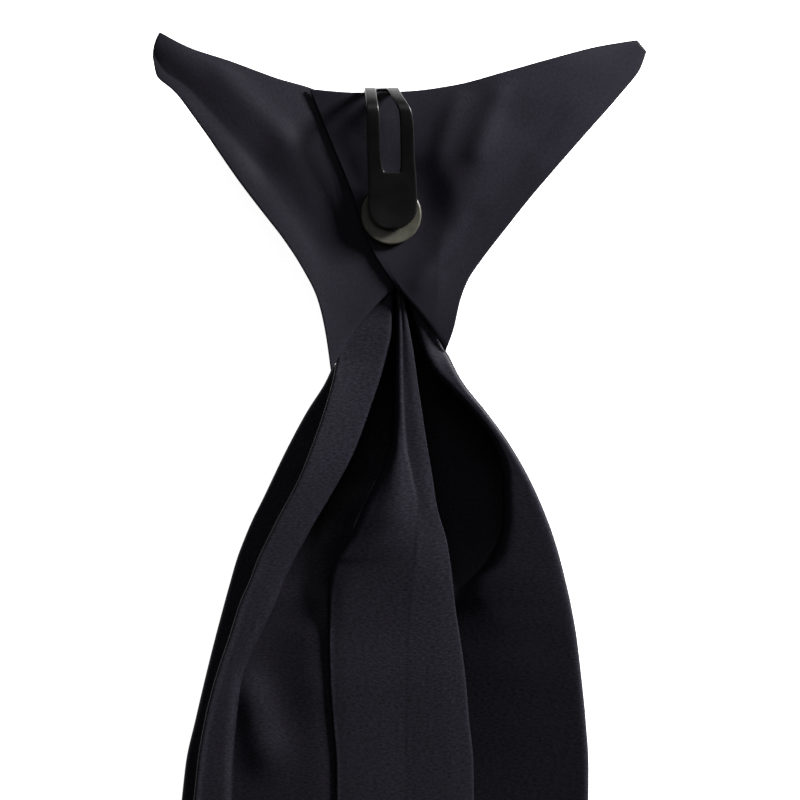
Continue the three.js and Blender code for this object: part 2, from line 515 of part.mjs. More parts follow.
// The disc, with a low round edge, standing on the panel's seat.
function discGeometry() {
  const edge = [0, 1, 2].map((k) => {
    const angle = (k / 2) * (Math.PI / 2);
    const reach = discRadius - discEdgeRound + discEdgeRound * Math.cos(angle);
    return new THREE.Vector2(reach, discThickness - discEdgeRound + discEdgeRound * Math.sin(angle));
  });
  const profile = [new THREE.Vector2(0, 0), new THREE.Vector2(discRadius, 0), ...edge];
  profile.push(new THREE.Vector2(0, discThickness));
  return new THREE.LatheGeometry(profile, discSides);
}

const satin = { color: 0x1c1b21, roughness: 0.5, metalness: 0 };
const blackSteel = { color: 0x0c0c0d, roughness: 0.2, metalness: 0.6 };
const oliveGrey = { color: 0x66665a, roughness: 0.45, metalness: 0 };

function piece(name, geometry, finish) {
  const mesh = new THREE.Mesh(geometry, new THREE.MeshStandardMaterial(finish));
  mesh.name = name;
  return mesh;
}

const disc = piece('grip_disc', discGeometry(), oliveGrey);
disc.rotation.x = Math.PI / 2;
disc.position.set(discCentre.x, discCentre.y, seatHeight + clothWall / 2 + clearance + seatUnevenness);

const tie = new THREE.Group();
tie.add(
  piece('knot_front', knotFrontGeometry(), satin),
  piece('left_wing', panelGeometry(leftPanel, leftFolds, false, leftPanelGrid), satin),
  piece('right_wing', panelGeometry(rightPanel, rightFolds, true, rightPanelGrid), satin),
  piece('blade', bladeGeometry(), satin),
  piece('back_pleat', backPleatGeometry(), satin),
  piece('collar_clip', clipGeometry(), blackSteel),
  disc,
);

// The origin goes to the middle of the tie's outline on the surface that it lies on.
tie.updateMatrixWorld(true);
const outline = new THREE.Box3().setFromObject(tie, true);
const centre = outline.getCenter(new THREE.Vector3());
tie.position.set(-centre.x, -centre.y, -outline.min.z);

const part = new THREE.Group();
part.add(tie);

export default part;
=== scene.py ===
# Black satin clip-on necktie, lying on its front. It is seen from straight above, so its back shows.
# Tables are in millimetres, measured from the neck of the tie, where the blade leaves the knot.
import math

import bpy
import numpy as np
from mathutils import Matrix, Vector, noise


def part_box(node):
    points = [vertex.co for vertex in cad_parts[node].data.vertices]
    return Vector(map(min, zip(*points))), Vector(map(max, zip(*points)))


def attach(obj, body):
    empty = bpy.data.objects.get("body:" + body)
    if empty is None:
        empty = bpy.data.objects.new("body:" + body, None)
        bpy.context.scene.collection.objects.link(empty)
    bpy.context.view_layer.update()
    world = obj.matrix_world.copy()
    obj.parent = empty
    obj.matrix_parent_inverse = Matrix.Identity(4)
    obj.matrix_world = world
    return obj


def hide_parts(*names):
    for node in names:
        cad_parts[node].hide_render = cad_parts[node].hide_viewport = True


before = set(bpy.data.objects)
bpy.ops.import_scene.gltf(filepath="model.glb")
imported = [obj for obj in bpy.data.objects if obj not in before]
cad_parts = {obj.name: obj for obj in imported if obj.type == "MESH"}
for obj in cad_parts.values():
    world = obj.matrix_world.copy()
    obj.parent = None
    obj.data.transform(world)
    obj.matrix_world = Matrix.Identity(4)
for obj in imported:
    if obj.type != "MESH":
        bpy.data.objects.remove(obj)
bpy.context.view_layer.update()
millimetre = 0.001

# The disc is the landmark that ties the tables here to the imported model.
discPlace = {"x": -1.6, "y": 30.8}
discLow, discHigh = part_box("grip_disc")
tieOrigin = Vector((
    (discLow.x + discHigh.x) / 2 - discPlace["x"] * millimetre,
    (discLow.y + discHigh.y) / 2 - discPlace["y"] * millimetre,
    0,
))


# Tables and lines

def tableOf(columns, rows):
    names = columns.split()
    return {name: np.array([row[i] for row in rows], float) for i, name in enumerate(names)}


def smoothColumn(at, values, t):
    # A smooth curve through the rows that never overshoots them.
    if at[0] > at[-1]:
        at, values = at[::-1], values[::-1]
    steep = np.diff(values) / np.diff(at)
    pull = np.zeros(len(at))
    pull[0], pull[-1] = steep[0], steep[-1]
    sameWay = steep[:-1] * steep[1:] > 0
    before = np.where(sameWay, steep[:-1], 1)
    after = np.where(sameWay, steep[1:], 1)
    pull[1:-1] = np.where(sameWay, 2 / (1 / before + 1 / after), 0)
    i = np.clip(np.searchsorted(at, t) - 1, 0, len(steep) - 1)
    gap = at[i + 1] - at[i]
    s = np.clip((t - at[i]) / gap, 0, 1)
    rise = 3 * s**2 - 2 * s**3
    startPull = s * (1 - s) ** 2 * gap * pull[i]
    endPull = s**2 * (s - 1) * gap * pull[i + 1]
    return values[i] + (values[i + 1] - values[i]) * rise + startPull + endPull


def tableAt(table, key, t):
    return {name: smoothColumn(table[key], table[name], t) for name in table if name != key}


def stationsBetween(marks, step):
    # Evenly stepped places from mark to mark, the step given for each stretch.
    places = [marks[0]]
    for a, b, size in zip(marks, marks[1:], step):
        count = max(1, round(abs(b - a) / size))
        places.extend(a + (b - a) * k / count for k in range(1, count + 1))
    return np.array(places)


def roundedLine(corners, roundSteps):
    # corners: x, z, reach of the round, and how many pieces the straight before it is cut into.
    # A round takes no more than mostOfSide of the straights beside it.
    mostOfSide = 0.47
    points = []
    at = [np.stack([x, z], axis=-1) for x, z, reach, cuts in corners]
    last = at[0]
    for i in range(1, len(corners)):
        reach, cuts = corners[i][2], corners[i][3]
        if i < len(corners) - 1:
            toBefore = at[i - 1] - at[i]
            toAfter = at[i + 1] - at[i]
            before = np.linalg.norm(toBefore, axis=-1, keepdims=True)
            after = np.linalg.norm(toAfter, axis=-1, keepdims=True)
            near = np.minimum(reach, mostOfSide * np.minimum(before, after))
            start = at[i] + toBefore / before * near
            end = at[i] + toAfter / after * near
        else:
            start = at[i]
        points.extend(last + (start - last) * k / cuts for k in range(cuts))
        if i == len(corners) - 1:
            points.append(start)
            break
        for k in range(roundSteps):
            t = k / roundSteps
            points.append((1 - t) ** 2 * start + 2 * t * (1 - t) * at[i] + t**2 * end)
        last = end
    return np.stack(points, axis=1)


def foldRise(folds, x, y):
    # A ridge where rise is above 0 and a trough where it is below, fading past both ends.
    fadeWidths = 1.5
    total = np.zeros_like(x)
    for k, width in enumerate(folds["width"]):
        runX = folds["toX"][k] - folds["fromX"][k]
        runY = folds["toY"][k] - folds["fromY"][k]
        length = math.hypot(runX, runY)
        offX, offY = x - folds["fromX"][k], y - folds["fromY"][k]
        along = (offX * runX + offY * runY) / length**2
        aside = (offX * runY - offY * runX) / length
        past = np.maximum(0, np.maximum(-along, along - 1)) * length
        fade = np.exp(-((past / (fadeWidths * width)) ** 2))
        total += folds["rise"][k] * fade * np.exp(-((aside / width) ** 2))
    return total


def softNoise(x, y, size, layer):
    # Gentle unevenness of hand-pressed cloth, the same on every run.
    flat = [noise.noise((a / size, b / size, layer)) for a, b in zip(x.ravel(), y.ravel())]
    return np.array(flat).reshape(x.shape)


# Materials

def linear(hexColour):
    # sRGB hex to linear colour.
    channels = [int(hexColour[i:i + 2], 16) / 255 for i in (1, 3, 5)]
    return [c / 12.92 if c <= 0.04045 else ((c + 0.055) / 1.055) ** 2.4 for c in channels] + [1.0]


def addNode(tree, kind, settings=None, links=None):
    node = tree.nodes.new(kind)
    for name, value in (settings or {}).items():
        if name in node.inputs:
            node.inputs[name].default_value = value
        else:
            setattr(node, name, value)
    for name, source in (links or {}).items():
        tree.links.new(source, node.inputs[name])
    return node


def newMaterial(name):
    material = bpy.data.materials.new(name)
    material.use_nodes = True
    tree = material.node_tree
    tree.nodes.clear()
    output = addNode(tree, "ShaderNodeOutputMaterial")
    return material, tree, output


def colourRamp(tree, source, stops):
    ramp = addNode(tree, "ShaderNodeValToRGB", links={"Fac": source})
    elements = ramp.color_ramp.elements
    while len(elements) < len(stops):
        elements.new(0.5)
    for element, (place, colour) in zip(elements, stops):
        element.position = place
        element.color = colour
    return ramp


def blackSatin(name, grainDepth):
    # Polyester satin with a soft grey-violet sheen, nearly dull. Its floats lie across the tie.
    # One float is about 0.2 mm wide. It is drawn 0.35 mm wide, so that its grain shows at this distance.
    look = {
        "thread": "#232129",
        "threadDark": "#111114",
        "floatWide": 0.35,
        "floatLong": 0.9,
        "tintSpread": 0.2,  # half of the grain's range, from dark to light thread
        "uneven": 9.0,
        "roughness": 0.45,
        "roughnessSpread": 0.05,
        "shine": 0.06,
        "grainBump": 0.25,
        "grainHeight": 0.05,
    }
    material, tree, output = newMaterial(name)
    uv = addNode(tree, "ShaderNodeUVMap", {"uv_map": "cloth"})
    floatScale = (1 / (look["floatLong"] * millimetre), 1 / (look["floatWide"] * millimetre), 1)
    grainMap = addNode(tree, "ShaderNodeMapping", {"Scale": floatScale}, {"Vector": uv.outputs["UV"]})
    grain = addNode(tree, "ShaderNodeTexNoise", {"Scale": 1.0, "Detail": 2.0, "Roughness": 0.6},
                    {"Vector": grainMap.outputs["Vector"]})
    spread = look["tintSpread"] / grainDepth
    tint = colourRamp(tree, grain.outputs["Fac"],
                      [(0.5 - spread, linear(look["threadDark"])), (0.5 + spread, linear(look["thread"]))])
    place = addNode(tree, "ShaderNodeTexCoord")
    blotch = addNode(tree, "ShaderNodeTexNoise", {"Scale": 1 / (look["uneven"] * millimetre), "Detail": 2.0},
                     {"Vector": place.outputs["Object"]})
    rough = addNode(tree, "ShaderNodeMapRange", {
        "To Min": look["roughness"] - look["roughnessSpread"],
        "To Max": look["roughness"] + look["roughnessSpread"],
    }, {"Value": blotch.outputs["Fac"]})
    bump = addNode(tree, "ShaderNodeBump", {
        "Strength": look["grainBump"] * grainDepth,
        "Distance": look["grainHeight"] * millimetre,
    }, {"Height": grain.outputs["Fac"]})
    shader = addNode(tree, "ShaderNodeBsdfPrincipled", {"IOR": 1.5, "Specular IOR Level": look["shine"]}, {
        "Base Color": tint.outputs["Color"],
        "Roughness": rough.outputs["Result"],
        "Normal": bump.outputs["Normal"],
    })
    tree.links.new(shader.outputs["BSDF"], output.inputs["Surface"])
    return material


def blackCoatedSteel():
    # Spring steel with a smooth gloss black coat, with small sharp reflections along its edges.
    look = {
        "coat": "#050506",
        "worn": "#0b0b0c",
        "cloud": 4.0,
        "roughness": 0.3,
        "roughnessSpread": 0.08,
        "shine": 0.28,
    }
    material, tree, output = newMaterial("blackCoatedSpringSteel")
    place = addNode(tree, "ShaderNodeTexCoord")
    cloud = addNode(tree, "ShaderNodeTexNoise", {"Scale": 1 / (look["cloud"] * millimetre), "Detail": 3.0},
                    {"Vector": place.outputs["Object"]})
    tint = colourRamp(tree, cloud.outputs["Fac"], [(0.35, linear(look["coat"])), (0.8, linear(look["worn"]))])
    rough = addNode(tree, "ShaderNodeMapRange", {
        "To Min": look["roughness"],
        "To Max": look["roughness"] + look["roughnessSpread"],
    }, {"Value": cloud.outputs["Fac"]})
    shader = addNode(tree, "ShaderNodeBsdfPrincipled", {"IOR": 1.5, "Specular IOR Level": look["shine"]}, {
        "Base Color": tint.outputs["Color"],
        "Roughness": rough.outputs["Result"],
    })
    tree.links.new(shader.outputs["BSDF"], output.inputs["Surface"])
    return material


def oliveDisc():
    # Moulded olive grey plastic with a dull polish and a fine orange-peel skin.
    look = {
        "light": "#424137",
        "dark": "#32312b",
        "mottle": 1.111,
        "roughness": 0.38,
        "skinBump": 0.1,
        "skinHeight": 0.03,
    }
    material, tree, output = newMaterial("oliveGreyMouldedPlastic")
    place = addNode(tree, "ShaderNodeTexCoord")
    mottle = addNode(tree, "ShaderNodeTexNoise", {"Scale": 1 / (look["mottle"] * millimetre), "Detail": 3.0},
                     {"Vector": place.outputs["Object"]})
    tint = colourRamp(tree, mottle.outputs["Fac"],
                      [(0.3, linear(look["dark"])), (0.7, linear(look["light"]))])
    bump = addNode(tree, "ShaderNodeBump", {
        "Strength": look["skinBump"],
        "Distance": look["skinHeight"] * millimetre,
    }, {"Height": mottle.outputs["Fac"]})
    shader = addNode(tree, "ShaderNodeBsdfPrincipled", {"IOR": 1.48, "Roughness": look["roughness"]}, {
        "Base Color": tint.outputs["Color"],
        "Normal": bump.outputs["Normal"],
    })
    tree.links.new(shader.outputs["BSDF"], output.inputs["Surface"])
    return material


# Cloth pieces

def clothPiece(name, grid, look, material, replaced):
    # grid holds the middle of the cloth: rows down the tie, points across it.
    # look["cut"] is the flat cloth that it takes up, in mm and square mm.
    rows, across = grid.shape[:2]
    places = grid.reshape(-1, 3) * millimetre + np.array(tieOrigin)
    faces = [(i * across + j, i * across + j + 1, (i + 1) * across + j + 1, (i + 1) * across + j)
             for i in range(rows - 1) for j in range(across - 1)]
    mesh = bpy.data.meshes.new(name)
    mesh.from_pydata(places.tolist(), [], faces)
    # The cloth map runs in real metres along and across the cloth, so the weave keeps its size on every fold.
    acrossRun = np.linalg.norm(np.diff(grid, axis=1, prepend=grid[:, :1]), axis=-1).cumsum(axis=1)
    middle = acrossRun[:, across // 2][:, None]
    downRun = np.linalg.norm(np.diff(grid, axis=0, prepend=grid[:1]), axis=-1).cumsum(axis=0)
    cloth = np.stack([acrossRun - middle, downRun], axis=-1).reshape(-1, 2) * millimetre
    layer = mesh.uv_layers.new(name="cloth")
    corners = np.array([v for face in mesh.polygons for v in face.vertices])
    layer.data.foreach_set("uv", cloth[corners].ravel())
    piece = bpy.data.objects.new(name, mesh)
    bpy.context.scene.collection.objects.link(piece)
    mesh.materials.append(material)
    bpy.ops.object.select_all(action="DESELECT")
    bpy.context.view_layer.objects.active = piece
    piece.select_set(True)
    thick = piece.modifiers.new("wall", "SOLIDIFY")
    thick.thickness = look["wall"] * millimetre
    thick.offset = 0
    bpy.ops.object.modifier_apply(modifier="wall")
    soft = piece.modifiers.new("soft", "SUBSURF")
    soft.levels = soft.render_levels = 1
    bpy.ops.object.modifier_apply(modifier="soft")
    bpy.ops.object.shade_smooth()
    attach(piece, "root")
    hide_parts(replaced)
    print("cloth", name, len(piece.data.polygons), "faces")


knotSatin = blackSatin("blackPolyesterSatinKnot", grainDepth=0.45)
bladeSatin = blackSatin("blackPolyesterSatinBlade", grainDepth=1.0)

# Wings

leftWingLook = {
    "wall": 0.5,
    "rows": 90,
    "across": 44,
    "rimShare": 0.2,                # the folds fade out over this share of the width at both rims
    "unevenness": 0.1,
    "unevenSize": 7.0,
    "noiseLayer": 1.5,
    "hemRoll": [0.036, 0.15, 0.3],  # how far the last rows bend down, at the folded lower edge
    "seat": None,
    "cut": {"wide": 26, "long": 76, "area": 1320},
}
# The disc lies on the right wing's panel and presses a shallow hollow into it.
rightWingLook = dict(
    leftWingLook,
    across=70,
    noiseLayer=4.5,
    seat={"radius": 3.5, "blend": 11.0, "sunk": 1.2, "gap": 0.2},
    cut={"wide": 50, "long": 92, "area": 1940},
)
discUnder = discLow.z / millimetre - rightWingLook["seat"]["sunk"]

# Rows run from the wing's corner to the panel's foot. out is the outer edge and in the inner one.
# crown is how far the middle rises, and bow how far it bends sideways.
leftPanel = tableOf("outX outY outZ inX inY inZ crown bow", [
    (-50.4, 62.9, 15.4, -49.0, 68.1, 15.8, 0.3, 0.4),
    (-49.6, 59.2, 15.6, -42.8, 64.9, 15.3, 0.6, 0.2),
    (-45.9, 55.8, 15.7, -34.2, 62.1, 14.7, 0.5, 0),
    (-40.2, 48.2, 15.7, -25.4, 58.9, 13.7, 0.4, 0),
    (-32.6, 37.3, 15.6, -16.2, 55.9, 12.6, 0.4, 0),
    (-28.1, 31.4, 15.4, -12.8, 51.0, 12.8, 0.1, 0),
    (-23.6, 25.6, 15.2, -9.9, 41.2, 13.6, -0.3, 0),
    (-19.9, 19.9, 15.0, -6.6, 33.4, 13.9, -0.6, 0),
    (-16.8, 13.7, 15.0, -3.2, 26.2, 14.0, -0.7, 0.3),
    (-15.2, 7.2, 14.9, -0.2, 20.9, 14.2, -0.7, 0.8),
    (-13.9, -1.6, 14.8, 0.9, 17.2, 13.9, -0.3, 1.5),
])
leftFolds = tableOf("fromX fromY toX toY width rise", [
    (-48.5, 61.0, -28.5, 41.0, 3.2, -0.55),
    (-28.5, 41.0, -17.5, 26.0, 3.2, -0.25),
    (-35.5, 58.5, -23.5, 46.5, 2.6, 0.4),
    (-23.5, 46.5, -18.0, 35.0, 2.4, 0.25),
])
rightPanel = tableOf("outX outY outZ inX inY inZ crown bow", [
    (50.6, 64.2, 15.4, 48.8, 66.4, 15.6, 0.3, 0),
    (49.4, 60.7, 15.3, 41.2, 65.2, 16.0, 0.6, 0),
    (44.9, 54.9, 15.5, 31.0, 62.6, 16.7, 0.9, 0),
    (39.2, 48.4, 15.8, 20.7, 59.7, 16.6, 1.1, 0),
    (32.2, 40.4, 15.8, 11.5, 57.3, 15.9, 1.0, 0),
    (26.9, 34.2, 15.3, 1.2, 56.0, 15.3, 0.9, 0),
    (21.9, 27.9, 14.8, -9.0, 55.8, 14.7, 0.8, 0),
    (17.4, 22.1, 14.4, -18.4, 56.6, 13.8, 0.7, 0),
    (14.1, 17.2, 14.2, -14.4, 46.8, 14.1, 0.6, 0),
    (12.5, 12.9, 14.0, -9.8, 35.6, 14.6, 0.5, 0),
    (11.3, 7.6, 13.6, -6.2, 25.0, 14.8, 0.4, 0),
    (9.5, 2.6, 13.0, 0.3, 14.9, 14.7, 0.2, -0.6),
])
rightFolds = tableOf("fromX fromY toX toY width rise", [
    (12.0, 55.0, 8.6, 44.0, 2.0, 0.45),
    (20.2, 55.0, 16.2, 44.0, 2.2, 0.5),
    (25.0, 42.0, 32.0, 50.0, 2.2, -0.25),
    (9.0, 27.0, 15.0, 42.0, 6.5, 1.5),
    (-4.5, 53.0, -5.0, 39.0, 4.5, 0.6),
    (8.0, 20.5, 15.5, 30.0, 1.8, -0.25),
    (4.0, 17.0, 12.0, 28.0, 1.6, 0.25),
])


def panelGrid(look, table, folds):
    rowCount = len(table["outX"])
    numbered = dict(table, step=np.arange(rowCount, dtype=float))
    row = tableAt(numbered, "step", np.linspace(0, rowCount - 1, look["rows"]))
    u = np.linspace(0, 1, look["across"])[None, :]
    out = {k: row["out" + k][:, None] for k in "XYZ"}
    inner = {k: row["in" + k][:, None] for k in "XYZ"}
    length = np.hypot(inner["X"] - out["X"], inner["Y"] - out["Y"])
    arch = 4 * u * (1 - u)
    bow = row["bow"][:, None] * arch
    x = out["X"] + (inner["X"] - out["X"]) * u + bow * (out["Y"] - inner["Y"]) / length
    y = out["Y"] + (inner["Y"] - out["Y"]) * u + bow * (inner["X"] - out["X"]) / length
    z = out["Z"] + (inner["Z"] - out["Z"]) * u + row["crown"][:, None] * arch
    inward = np.minimum(1, np.minimum(u, 1 - u) / look["rimShare"])
    uneven = look["unevenness"] * softNoise(x, y, look["unevenSize"], look["noiseLayer"])
    z = z + inward * (foldRise(folds, x, y) + uneven)
    seat = look["seat"]
    if seat:
        away = np.hypot(x - discPlace["x"], y - discPlace["y"]) - seat["radius"]
        s = np.clip(away / seat["blend"], 0, 1)
        s = s * s * (3 - 2 * s)
        seatHeight = discUnder - look["wall"] / 2 - seat["gap"]
        z = seatHeight * (1 - s) + z * s
    hemRoll = np.array(look["hemRoll"])
    z[-len(hemRoll):] -= hemRoll[:, None]
    return np.stack([x, y, z], axis=-1)


clothPiece("leftWing", panelGrid(leftWingLook, leftPanel, leftFolds), leftWingLook, knotSatin,
           "left_wing")
clothPiece("rightWing", panelGrid(rightWingLook, rightPanel, rightFolds), rightWingLook, knotSatin,
           "right_wing")

# Knot, a channel of cloth that is open to the back

bandLook = {
    "wall": 1.0,
    "corner": 3.4,
    "marks": [0.2, 46.0, 52.6, 54.0, 54.6, 54.7],
    "steps": [2.0, 1.2, 0.4, 0.12, 0.02],
    "cut": {"wide": 65, "long": 58, "area": 3310},
}
# Rows run up the knot. slant is how much further up the tie a row lies at its right. The other columns are
# the two sides, the height of the face below, and the tops of the left and the right side wall.
band = tableOf("y left right slant face side sideRight", [
    (0.2, -13.9, 9.4, 4.4, 0.8, 13.2, 11.6),
    (5.1, -14.8, 9.9, 2.8, 0.8, 14.0, 12.2),
    (11.3, -15.8, 11.9, 1.0, 0.8, 14.3, 13.2),
    (17.4, -17.6, 13.9, 0, 0.8, 14.3, 13.5),
    (26.0, -19.8, 16.6, 0, 0.8, 14.0, 13.7),
    (36.0, -21.4, 19.2, 0, 0.8, 13.6, 13.4),
    (46.0, -22.6, 21.4, 0, 0.8, 12.9, 13.2),
    (50.6, -23.0, 22.2, 0, 0.8, 12.2, 13.0),
    (52.6, -23.2, 22.4, 0, 1.4, 12.0, 12.8),
    (54.0, -23.2, 22.4, 0, 3.0, 11.8, 12.6),
    (54.6, -23.1, 22.3, 0, 5.4, 11.6, 12.4),
    (54.7, -22.9, 22.1, 0, 7.9, 11.4, 12.2),
])


def bandGrid():
    y = stationsBetween(bandLook["marks"], bandLook["steps"])
    row = tableAt(band, "y", y)
    inset = bandLook["wall"] / 2
    left, right = row["left"] + inset, row["right"] - inset
    line = roundedLine([
        (left, row["side"], 0, 1),
        (left, row["face"], bandLook["corner"], 4),
        (right, row["face"], bandLook["corner"], 20),
        (right, row["sideRight"], 0, 4),
    ], 8)
    share = (line[..., 0] - left[:, None]) / (right - left)[:, None]
    down = y[:, None] + row["slant"][:, None] * share
    return np.stack([line[..., 0], down, line[..., 1]], axis=-1)


clothPiece("knotBand", bandGrid(), bandLook, knotSatin, "knot_front")

# Blade

bladeLook = {
    "wall": 0.7,
    "frontInset": 0.9,     # the front layer's edges turn up this far inside the outline
    "rightInset": 0.05,
    "undercut": 0.3,       # the pleat's fold hangs this far over its own side
    "lipWide": 1.1,
    "marks": [30, 8, -52, -90],
    "steps": [4.0, 1.1, 1.8, 12.0],
    "pointStart": -345,
    "pointShares": [0.12, 0.25, 0.4, 0.55, 0.7, 0.82, 0.91, 1.0],
    "tip": -389,
    "tipHalf": 3,
    "wrinkledPoints": 25,  # from the seam over the mound and up to the pleat's left fold
    "cut": {"wide": 178, "long": 436, "area": 65000},
}
# Each row is a section of the left side, from the outline in to the seam below the strip.
# Places across: left, pleatLeft, pleatRight, creaseX, mound, moundFoot, seam.
# Heights: front, side, ledge, pleatTop, pleatEdge, creaseZ, moundTop, floor.
# lip is how far the pleat drops inside its raised left edge, and pleatRound rounds its right edge.
bladeLeftColumns = (
    "y left front side ledge pleatLeft pleatTop lip pleatRight pleatEdge pleatRound"
    " creaseX creaseZ mound moundTop moundFoot floor seam"
)
bladeLeft = tableOf(bladeLeftColumns, [
    (30, -9.5, 2.7, 4.8, 5.6, -7.4, 9.5, 0, -2.0, 9.0, 0.6, -2.3, 5.4, -1.5, 5.4, -1.1, 5.4, -0.6),
    (14, -11.6, 2.7, 5.0, 5.8, -10.2, 11.8, 0, -1.5, 12.4, 0.6, -1.9, 4.6, -1.2, 4.6, -0.8, 4.6, -0.5),
    (7, -12.0, 2.7, 5.0, 5.8, -11.6, 12.8, 0.1, -1.6, 12.9, 0.6, -2.0, 4.0, -1.2, 4.0, -0.6, 4.0, -0.2),
    (2.4, -12.2, 2.7, 4.6, 5.4, -12.2, 13.2, 0.1, -2.7, 12.8, 0.6, -3.1, 3.6, -1.8, 3.6, -0.5, 3.6, 0.2),
    (0.1, -12.5, 2.5, 4.3, 5.1, -12.6, 13.5, 0.15, -3.3, 12.7, 0.6, -3.7, 3.5, -2.0, 3.5, -0.6, 3.5, 0.3),
    (-0.8, -13.9, 2.5, 4.2, 5.0, -12.8, 13.7, 0.15, -3.6, 12.7, 0.6, -4.0, 3.4, -2.1, 3.4, -0.6, 3.4, 0.4),
    (-2.0, -14.4, 2.4, 4.0, 4.8, -13.0, 13.9, 0.2, -3.9, 12.6, 0.6, -4.3, 3.2, -2.4, 3.2, -0.6, 3.2, 0.4),
    (-4.2, -15.5, 2.1, 3.9, 4.7, -13.5, 14.2, 0.2, -4.6, 12.4, 0.6, -5.0, 2.9, -2.8, 2.9, -0.7, 2.9, 0.5),
    (-9.4, -18.9, 0.9, 3.2, 4.2, -15.0, 14.6, 0.25, -6.4, 12.0, 0.6, -6.8, 2.3, -3.6, 2.3, -0.8, 2.3, 0.6),
    (-16, -22.5, 0.6, 2.9, 3.9, -17.3, 14.7, 0.4, -8.8, 11.6, 0.6, -9.2, 2.0, -5, 2.0, -1.2, 2.0, 0.8),
    (-20, -24.5, 0.6, 2.9, 3.9, -18.8, 14.6, 0.4, -10.6, 11.4, 0.6, -11.0, 2.0, -6, 2.0, -2, 2.0, 0.8),
    (-24, -26.4, 0.6, 2.8, 3.8, -20.5, 14.4, 0.4, -12.8, 11.1, 0.6, -13.2, 2.2, -8, 1.9, -3, 1.9, 0.8),
    (-28, -28.3, 0.6, 2.8, 3.8, -22.6, 14.1, 0.45, -15.1, 10.9, 0.6, -15.5, 3.0, -12, 2.6, -4, 1.9, 0.8),
    (-32, -30.3, 0.6, 2.7, 3.7, -24.8, 13.8, 0.5, -17.5, 10.7, 0.7, -17.9, 3.4, -13.0, 3.2, -8, 1.9, 0.8),
    (-36, -32.0, 0.6, 2.7, 3.6, -26.8, 13.4, 0.6, -19.7, 10.4, 0.8, -20.1, 4.1, -14.5, 4.3, -9, 2.1, 0.8),
    (-40, -33.5, 0.6, 2.7, 3.6, -28.7, 13.0, 0.7, -21.9, 10.1, 1.1, -22.3, 4.9, -15.8, 5.3, -10, 2.6, 0.8),
    (-44.5, -34.8, 0.6, 2.7, 3.6, -30.4, 12.6, 0.8, -24.0, 9.8, 1.4, -24.3, 5.6, -16.2, 6.4, -11, 4.2, 0.8),
    (-48.5, -35.9, 0.6, 2.7, 3.6, -32.2, 12.2, 0.9, -25.5, 9.6, 1.8, -25.7, 6.2, -18.0, 7.3, -12.5, 7.2, 0.8),
    (-56, -37.9, 0.6, 2.7, 3.5, -34.6, 11.4, 1.0, -29.4, 9.4, 1.8, -29.2, 6.4, -25.0, 6.8, -16.0, 8.9, 0.8),
    (-64, -39.9, 0.6, 2.7, 3.4, -37.3, 10.8, 1.0, -33.2, 9.0, 1.4, -32.7, 6.2, -28, 6.5, -15.8, 8.9, 0.8),
    (-73, -42.0, 0.6, 2.6, 3.3, -39.6, 9.9, 0.9, -34.5, 8.3, 1.4, -33.7, 6.1, -28, 6.5, -15.2, 8.2, 0.8),
    (-82.6, -44.1, 0.6, 2.5, 3.2, -41.2, 9.0, 0.8, -35.6, 7.6, 1.8, -34.6, 6.4, -30, 6.7, -14.4, 7.6, 0.8),
    (-120, -47.0, 0.6, 2.4, 3.0, -44.0, 6.2, 0.3, -36, 5.6, 1.0, -35.2, 4.8, -32, 5.0, -13.8, 5.1, 0.6),
    (-240, -49.0, 0.6, 2.3, 2.7, -46.2, 3.9, 0.1, -36, 3.8, 0.6, -35, 3.6, -32, 3.6, -14.5, 4.1, -0.4),
    (-345, -49.2, 0.6, 2.3, 2.7, -46.4, 3.8, 0.1, -36, 3.7, 0.6, -35, 3.5, -32, 3.5, -15, 4.0, -1.0),
])
